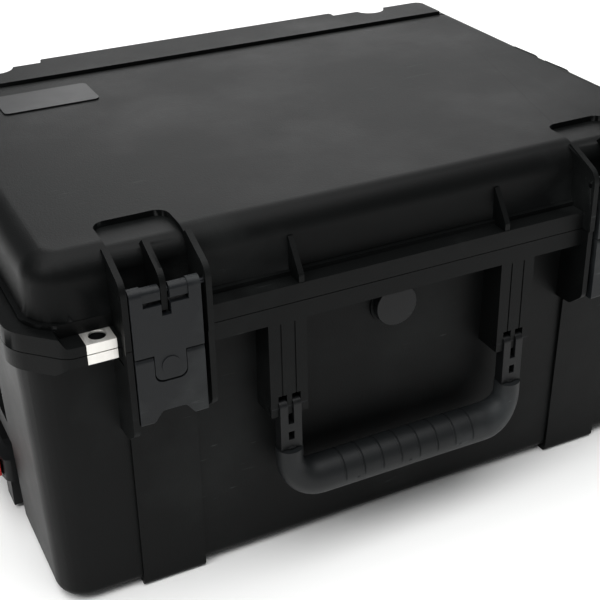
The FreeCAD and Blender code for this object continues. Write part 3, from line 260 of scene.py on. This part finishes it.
def metal(name, colour, roughness, line_scale, strength):
    """Metal with fine drawn or brushed lines; line_scale is how many there are in a metre along X, Y, Z."""
    material, tree = new_material(name)
    place = add_node(tree, "ShaderNodeTexCoord").outputs["Object"]
    lines = add_node(tree, "ShaderNodeMapping", Vector=place, Scale=line_scale)
    noise = add_node(tree, "ShaderNodeTexNoise", Vector=lines.outputs["Vector"], Scale=1.0, Detail=3.0)
    gloss = add_node(tree, "ShaderNodeMapRange", Value=noise.outputs["Fac"], From_Min=0.3, From_Max=0.7,
                     To_Min=roughness - 0.08, To_Max=roughness + 0.1)
    bump = add_node(tree, "ShaderNodeBump", Height=noise.outputs["Fac"], Strength=strength, Distance=0.0002)
    shader = add_node(tree, "ShaderNodeBsdfPrincipled", Base_Color=hex_colour(colour), Metallic=1.0,
                      Roughness=gloss.outputs[0], Normal=bump.outputs["Normal"])
    add_node(tree, "ShaderNodeOutputMaterial", Surface=shader.outputs["BSDF"])
    return material


# Brushed stainless steel: pale, and bright without a clear reflection.
stainless = metal("brushed_stainless_sheet", "#E9E7E2", 0.48, (2500.0, 60.0, 60.0), 0.12)
for side in ("left", "right"):
    moulded(stainless, f"lid_lock_plate_{side}", 0.2)
    moulded(stainless, f"base_lock_plate_{side}", 0.2)

# ---------------------------------------------------------------- latches
# Glass-filled nylon, a shade greyer than the case and a little rubbed where thumbs press it. The
# frame hangs on a blackened steel pin between the lid's ears, and the lever turns on a thinner one.

# Glass-filled nylon: satin, with pale rub marks on its face.
latch_plastic = plastic("glass_filled_nylon", "#131517", "#666B6A", roughness=0.45, grain_mm=0.8,
                        grain_depth=0.25, wear=0.9, dust=0.16, shine=0.2)
# Black oxide on steel: dark, with a soft metal sheen along the pin.
black_steel = metal("blackened_steel_pin", "#2A2B2D", 0.42, (50.0, 2500.0, 2500.0), 0.1)
for side in ("left", "right"):
    moulded(latch_plastic, f"latch_frame_{side}", 0.6, 3)
    moulded(latch_plastic, f"pull_lever_{side}", 0.6, 3)
    finish(black_steel, f"latch_pin_{side}", f"lever_pin_{side}", f"lever_spring_{side}")

# ---------------------------------------------------------------- carry handle
# A nylon frame with a forked end at each side, and a soft rubber grip moulded over its bar. The
# grip thickens through the elbows, and shallow grooves cross its upper side.

# Plain black nylon: a little glossier than the case.
handle_plastic = plastic("moulded_nylon", "#0D0E0F", "#4C4F4F", roughness=0.42, grain_mm=0.9,
                         grain_depth=0.25, wear=0.5, dust=0.05, shine=0.2)
moulded(handle_plastic, "handle_frame", 0.4)
finish(black_steel, "handle_pin_left", "handle_pin_right")

# Soft overmoulded rubber: matt and greyer, where handling has dusted and dulled it.
grip_rubber = plastic("soft_grip_rubber", "#131516", "#5A5E60", roughness=0.48, grain_mm=0.7,
                      grain_depth=0.35, wear=0.6, dust=0.22, shine=0.22)
ARM_RADIUS = 10.5 * MM
BEND_RADIUS = 24 * MM
ROUND_SIDES = 40
ELBOW_STEPS = 12
GROOVES = 8
GROOVE_SPACING = 16.4 * MM
GROOVE_DEPTH = 0.9 * MM
GROOVE_EDGES = (-1.1, -0.5, 0.5, 1.1)    # millimetres from a groove's middle, across it
GROOVE_FLOOR = 0.6 * MM
MARK_SPACING = 46 * MM
WELD = 0.01 * MM
grip_low, grip_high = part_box("handle_grip")
grip_radius = (grip_high.y - grip_low.y) / 2
grip_y = (grip_high.y + grip_low.y) / 2
grip_z = grip_low.z + grip_radius
arm_x = grip_high.x - ARM_RADIUS
arm_foot = grip_z + BEND_RADIUS


def grip_stations():
    """Middle point, lean and radius along the left arm, the elbow and half of the bar."""
    stations = [(Vector((-arm_x, grip_y, z)), 0.0, ARM_RADIUS) for z in (grip_high.z, arm_foot)]
    centre = Vector((BEND_RADIUS - arm_x, grip_y, arm_foot))
    for step in range(1, ELBOW_STEPS + 1):
        share = step / ELBOW_STEPS
        angle = share * math.pi / 2
        spot = centre + BEND_RADIUS * Vector((-math.cos(angle), 0, -math.sin(angle)))
        swell = share * share * (3 - 2 * share)
        stations.append((spot, angle, ARM_RADIUS + (grip_radius - ARM_RADIUS) * swell))
    stations.append((Vector((0, grip_y, grip_z)), math.pi / 2, grip_radius))
    return stations


def station_matrix(spot, lean, radius):
    return Matrix.Translation(spot) @ Matrix.Rotation(-lean, 4, "Y") @ Matrix.Scale(radius, 4)


def rubber_grip():
    mesh = bmesh.new()
    stations = [station_matrix(*s) for s in grip_stations()]
    ring = bmesh.ops.create_circle(mesh, cap_ends=True, segments=ROUND_SIDES, radius=1,
                                   matrix=stations[0])["verts"]
    edges = list({e for v in ring for e in v.link_edges})
    for before, after in zip(stations, stations[1:]):
        grown = bmesh.ops.extrude_edge_only(mesh, edges=edges)["geom"]
        edges = [g for g in grown if isinstance(g, bmesh.types.BMEdge)]
        verts = [g for g in grown if isinstance(g, bmesh.types.BMVert)]
        bmesh.ops.transform(mesh, matrix=after @ before.inverted(), verts=verts)
    bmesh.ops.mirror(mesh, geom=mesh.verts[:] + mesh.edges[:] + mesh.faces[:], axis="X", merge_dist=WELD)
    for index in range(GROOVES):
        cut_grip_groove(mesh, (index - (GROOVES - 1) / 2) * GROOVE_SPACING)
    bmesh.ops.remove_doubles(mesh, verts=mesh.verts, dist=WELD)
    bmesh.ops.recalc_face_normals(mesh, faces=mesh.faces)
    for x in (-MARK_SPACING, 0.0, MARK_SPACING):
        bmesh.ops.create_cone(mesh, cap_ends=True, segments=16, radius1=1.4 * MM, radius2=1.2 * MM,
                              depth=0.8 * MM, matrix=mould_mark(x))
    grip = add_piece("rubber_grip", mesh, grip_rubber, "handle_grip")
    grip.data.set_sharp_from_angle(angle=math.radians(30))


def cut_grip_groove(mesh, x):
    """Four cuts round the bar, the inner two drawn in on the upper side."""
    for shift in GROOVE_EDGES:
        bmesh.ops.bisect_plane(mesh, geom=mesh.verts[:] + mesh.edges[:] + mesh.faces[:],
                               plane_co=(x + shift * MM, 0, 0), plane_no=(1, 0, 0), dist=0.001 * MM)
    upper = [v for v in mesh.verts if abs(v.co.x - x) < GROOVE_FLOOR and v.co.z > grip_z - 2 * MM]
    shrink = 1 - GROOVE_DEPTH / grip_radius
    bmesh.ops.scale(mesh, vec=(1, shrink, shrink), verts=upper,
                    space=Matrix.Translation((0, -grip_y, -grip_z)))


def mould_mark(x):
    """The place of a small round mark low on the bar's front."""
    angle = math.radians(-14)
    out = Vector((0, -math.cos(angle), math.sin(angle)))
    turn = Vector((0, 0, 1)).rotation_difference(out).to_matrix().to_4x4()
    return Matrix.Translation(Vector((x, grip_y, grip_z)) + out * (grip_radius - 0.1 * MM)) @ turn


rubber_grip()

# ---------------------------------------------------------------- pressure valve
# A vented plug through the tub's front wall, screwed up from inside against a rubber washer. Its
# round cap is left plain.

moulded(handle_plastic, "valve_cap", 0.6, 3)
finish(handle_plastic, "valve_body", "valve_nut")
finish(seal_rubber, "valve_seal")

# ---------------------------------------------------------------- pull handle
# Two anodised aluminium tubes slide in guides under the floor, held up by two screwed saddles. The
# grip across their ends is nylon, with a red release tab over a spring in front of each tube.

# Clear-anodised drawn aluminium: grey, with faint lines along the tube.
anodised = metal("anodised_aluminium_tube", "#7C8086", 0.36, (40.0, 2500.0, 2500.0), 0.12)
# Zinc-plated steel: even, soft and pale.
zinc_steel = metal("zinc_plated_screw", "#9A9C9E", 0.4, (900.0, 900.0, 60.0), 0.1)
# Red acetal: smooth and fairly glossy.
tab_plastic = plastic("red_release_plastic", "#B0180F", "#7A221C", roughness=0.35, grain_mm=0.9,
                      grain_depth=0.12, wear=0.3, shine=0.5)
moulded(handle_plastic, "pull_grip", 0.8, 3)
finish(handle_plastic, "saddle_left", "saddle_right")
finish(zinc_steel, "saddle_screws")
for end in ("front", "rear"):
    finish(anodised, f"guide_tube_{end}", f"pull_tube_{end}")
    finish(zinc_steel, f"release_spring_{end}")
    moulded(tab_plastic, f"release_tab_{end}", 0.6, 3)

# ---------------------------------------------------------------- wheels
# Solid rubber tyres on spoked nylon hubs. Each turns on an acetal bush round a steel axle, which
# lies in slots in the tub and is held there by pressed-in bars.

# Solid rubber: dull, and grey where the ground has worn it.
tyre_rubber = plastic("solid_tyre_rubber", "#121314", "#4A4A48", roughness=0.7, grain_mm=0.9,
                      grain_depth=0.45, wear=0.6, dust=0.12)
# Dark grey nylon: satin, and clearly lighter than the tyre.
hub_plastic = plastic("hub_nylon", "#25282A", "#6A6D6C", roughness=0.45, grain_mm=0.8, grain_depth=0.2,
                      wear=0.3)
# Natural acetal: ivory and smooth.
acetal = plastic("acetal_bush", "#D9D7CF", "#A8A69E", roughness=0.35, grain_mm=0.9, grain_depth=0.1,
                 wear=0.3, shine=0.5)
for end in ("front", "rear"):
    moulded(tyre_rubber, f"tyre_{end}", 1.2, 3)
    moulded(hub_plastic, f"hub_{end}", 0.5)
    finish(acetal, f"bush_{end}")
    finish(zinc_steel, f"axle_{end}")
finish(handle_plastic, "axle_keepers")

# ---------------------------------------------------------------- hinge
# A blackened steel pin runs through the three moulded knuckles of each hinge, two on the tub and one
# on the lid. It is pressed into the tub's knuckles, and the lid turns on it.

finish(black_steel, "hinge_pin_left", "hinge_pin_right")
